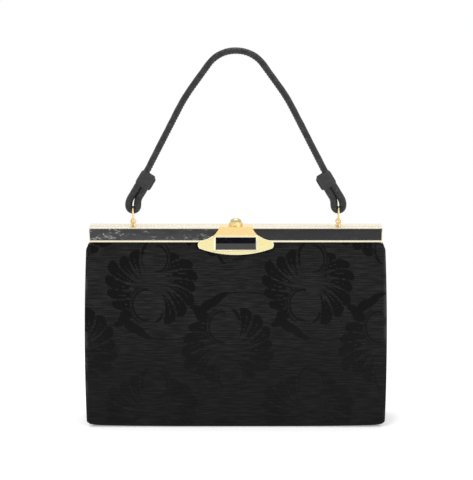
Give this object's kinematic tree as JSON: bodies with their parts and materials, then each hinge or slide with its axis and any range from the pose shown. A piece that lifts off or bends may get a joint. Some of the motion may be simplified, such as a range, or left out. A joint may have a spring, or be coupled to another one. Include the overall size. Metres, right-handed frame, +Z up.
{
  "type": "brocade handbag",
  "caption": "Brocade frame handbag with a rolled handle hung on rings, inlaid rails and a clasp with a push button; the back half of the frame swings open.",
  "frame": {"origin": "on the floor, in the middle of the base", "axes": "+Z up, the front with the clasp faces -Y, +X to the right seen from the front"},
  "size_m": [0.26, 0.0612, 0.3244],
  "materials": {
    "gold_frame": "polished gilt",
    "gold_clasp": "satin gilt",
    "inlay": "marbled, polished",
    "black_stone": "glossy, cut",
    "button_stone": "cut glass",
    "latch_steel": "plain",
    "brocade": "woven, ribbed",
    "board": "grey board",
    "lining": "satin",
    "handle_leather": "textured"
  },
  "bodies": {
    "front_half": {"front_frame": "gold_frame", "hinge_pin_left": "gold_frame", "hinge_pin_right": "gold_frame", "front_inlay_left": "inlay", "front_inlay_right": "inlay", "clasp_plate": "gold_clasp", "stone_setting": "gold_clasp", "clasp_stone": "black_stone", "button_collar": "gold_clasp", "latch_housing": "latch_steel", "latch_spring": "latch_steel", "front_panel": "brocade", "base_panel": "brocade", "lower_back_panel": "brocade", "front_board": "board", "base_board": "board", "lower_back_board": "board", "lining": "lining", "right_gusset": "brocade", "left_gusset": "brocade"},
    "back_half": {"back_frame": "gold_frame", "back_inlay": "inlay", "upper_back_panel": "brocade", "upper_back_board": "board", "upper_back_lining": "lining", "right_gusset_leaf": "brocade", "left_gusset_leaf": "brocade", "catch_plate": "latch_steel", "right_post": "gold_frame", "left_post": "gold_frame"},
    "button": {"push_button": "gold_clasp", "button_stone": "button_stone", "latch_bar": "latch_steel"},
    "left_ring": {"left_ring": "gold_frame"},
    "right_ring": {"right_ring": "gold_frame"},
    "handle": {"handle_cord": "handle_leather", "right_band": "handle_leather", "left_band": "handle_leather"}
  },
  "joints": [
    {"name": "frame_hinge", "type": "hinge", "parent": "front_half", "child": "back_half", "pos_m": [0, 0, 0.111], "axis": [-1, 0, 0], "range_deg": [0, 50]},
    {"name": "button_press", "type": "slide", "parent": "front_half", "child": "button", "axis": [0, 0, -1], "range_m": [0, 0.0016], "stiffness_N_per_m": 800, "springref_m": -0.001, "deforming": ["latch_spring"]},
    {"name": "left_ring_swing", "type": "hinge", "parent": "back_half", "child": "left_ring", "pos_m": [-0.0886, 0.0055, 0.1743], "axis": [1, 0, 0], "range_deg": [-25, 25]},
    {"name": "right_ring_swing", "type": "hinge", "parent": "back_half", "child": "right_ring", "pos_m": [0.0886, 0.0055, 0.1743], "axis": [1, 0, 0], "range_deg": [-25, 25]},
    {"name": "handle_swing", "type": "hinge", "parent": "left_ring", "child": "handle", "pos_m": [-0.0886, 0.0055, 0.1807], "axis": [1, 0, 0], "range_deg": [-65, 65]}
  ],
  "couplings": [
    {"joint": "right_ring_swing", "follows": "left_ring_swing", "ratio": 1}
  ]
}
